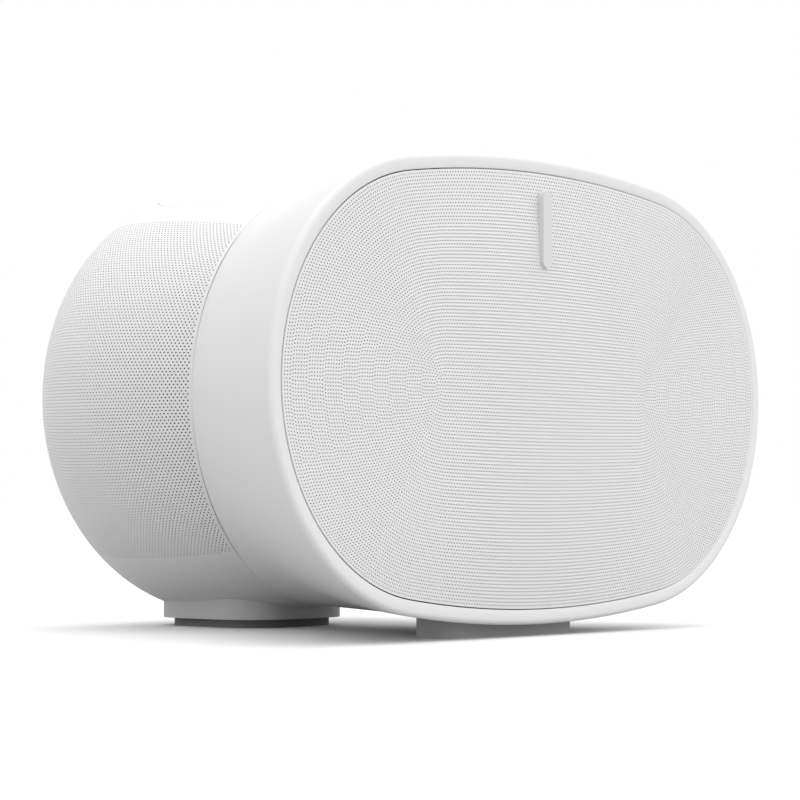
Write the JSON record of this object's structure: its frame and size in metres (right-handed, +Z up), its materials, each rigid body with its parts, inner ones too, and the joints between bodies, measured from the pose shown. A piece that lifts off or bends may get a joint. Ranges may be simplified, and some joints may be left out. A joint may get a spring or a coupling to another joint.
{
  "type": "smart speaker",
  "caption": "Smart speaker with a wide oval front body, a pinched waist and a perforated rear drum, on two low feet.",
  "frame": {"origin": "on the floor, under the middle of the speaker", "axes": "+Z up, -Y towards the listener in front, X across the wide front"},
  "size_m": [0.26, 0.1866, 0.16],
  "materials": {
    "white_plastic": "matte moulded, very fine texture",
    "white_grille": "matte, finely perforated",
    "badge_white": "satin",
    "touch_white": "smooth satin",
    "back_white": "matte",
    "plinth_grey": "matte",
    "foot_grey": "matte",
    "foot_rubber": "matte",
    "grey_plastic": "matte",
    "dark_plastic": "matte",
    "dust_mesh": "fine woven mesh",
    "clear_lens": "clear gloss",
    "brass": "turned",
    "foam": "closed-cell foam",
    "circuit_board": "solder mask",
    "aluminium": "extruded",
    "steel": "plated",
    "magnet": "coated",
    "copper": "enamelled wire",
    "cone_paper": "pressed paper",
    "dome_silk": "coated silk",
    "surround_rubber": "smooth",
    "spider_fabric": "treated cloth",
    "lead_rubber": "insulated",
    "socket_black": "matte",
    "control_grey": "satin"
  },
  "bodies": {
    "casing": {"front_shell": "white_plastic", "front_grille": "white_grille", "front_dust_mesh": "dust_mesh", "grille_carrier": "grey_plastic", "badge": "badge_white", "rear_shell": "white_plastic", "touch_panel": "touch_white", "status_lens": "clear_lens", "back_panel": "back_white", "plinth": "plinth_grey", "rear_foot": "foot_rubber", "front_foot": "foot_grey", "stand_insert": "brass", "front_baffle": "dark_plastic", "bulkhead": "dark_plastic", "waist_gasket": "foam", "woofer_chassis": "dark_plastic", "main_board": "circuit_board", "amplifier_board": "circuit_board", "heat_sink": "aluminium", "power_supply": "circuit_board", "touch_board": "circuit_board", "microphones": "steel", "antennas": "brass", "power_inlet": "socket_black", "line_in_port": "steel", "port_board": "circuit_board", "screws": "steel", "speaker_leads": "lead_rubber", "side_dust_meshes": "dust_mesh", "left_side_grille": "white_grille", "left_woofer_basket": "steel", "left_woofer_magnet": "magnet", "left_woofer_surround": "surround_rubber", "left_woofer_spider": "spider_fabric", "right_side_grille": "white_grille", "right_woofer_basket": "steel", "right_woofer_magnet": "magnet", "right_woofer_surround": "surround_rubber", "right_woofer_spider": "spider_fabric", "front_tweeter_motor": "magnet", "front_tweeter_horn": "dark_plastic", "left_tweeter_motor": "magnet", "left_tweeter_horn": "dark_plastic", "right_tweeter_motor": "magnet", "right_tweeter_horn": "dark_plastic", "top_tweeter_motor": "magnet", "top_tweeter_horn": "dark_plastic"},
    "pairing_button": {"pairing_button": "control_grey"},
    "mic_switch": {"mic_switch": "control_grey"},
    "left_woofer_cone": {"left_woofer_cone": "cone_paper", "left_woofer_dust_cap": "cone_paper", "left_woofer_voice_coil": "copper"},
    "right_woofer_cone": {"right_woofer_cone": "cone_paper", "right_woofer_dust_cap": "cone_paper", "right_woofer_voice_coil": "copper"},
    "front_tweeter_dome": {"front_tweeter_dome": "dome_silk"},
    "left_tweeter_dome": {"left_tweeter_dome": "dome_silk"},
    "right_tweeter_dome": {"right_tweeter_dome": "dome_silk"},
    "top_tweeter_dome": {"top_tweeter_dome": "dome_silk"}
  },
  "joints": [
    {"name": "pairing_button_press", "type": "slide", "parent": "casing", "child": "pairing_button", "axis": [0, -1, 0], "range_m": [0, 0.001], "stiffness_N_per_m": 900},
    {"name": "mic_switch_slide", "type": "slide", "parent": "casing", "child": "mic_switch", "axis": [1, 0, 0], "range_m": [0, 0.003]},
    {"name": "left_woofer_travel", "type": "slide", "parent": "casing", "child": "left_woofer_cone", "axis": [-1, 0, 0], "range_m": [-0.004, 0.004], "stiffness_N_per_m": 1200},
    {"name": "right_woofer_travel", "type": "slide", "parent": "casing", "child": "right_woofer_cone", "axis": [1, 0, 0], "range_m": [-0.004, 0.004], "stiffness_N_per_m": 1200},
    {"name": "front_tweeter_travel", "type": "slide", "parent": "casing", "child": "front_tweeter_dome", "axis": [0, -1, 0], "range_m": [-0.0003, 0.0003], "stiffness_N_per_m": 2000},
    {"name": "left_tweeter_travel", "type": "slide", "parent": "casing", "child": "left_tweeter_dome", "axis": [-0.4695, -0.8829, 0], "range_m": [-0.0003, 0.0003], "stiffness_N_per_m": 2000},
    {"name": "right_tweeter_travel", "type": "slide", "parent": "casing", "child": "right_tweeter_dome", "axis": [0.4695, -0.8829, 0], "range_m": [-0.0003, 0.0003], "stiffness_N_per_m": 2000},
    {"name": "top_tweeter_travel", "type": "slide", "parent": "casing", "child": "top_tweeter_dome", "axis": [0, -0.6428, 0.766], "range_m": [-0.0003, 0.0003], "stiffness_N_per_m": 2000}
  ]
}
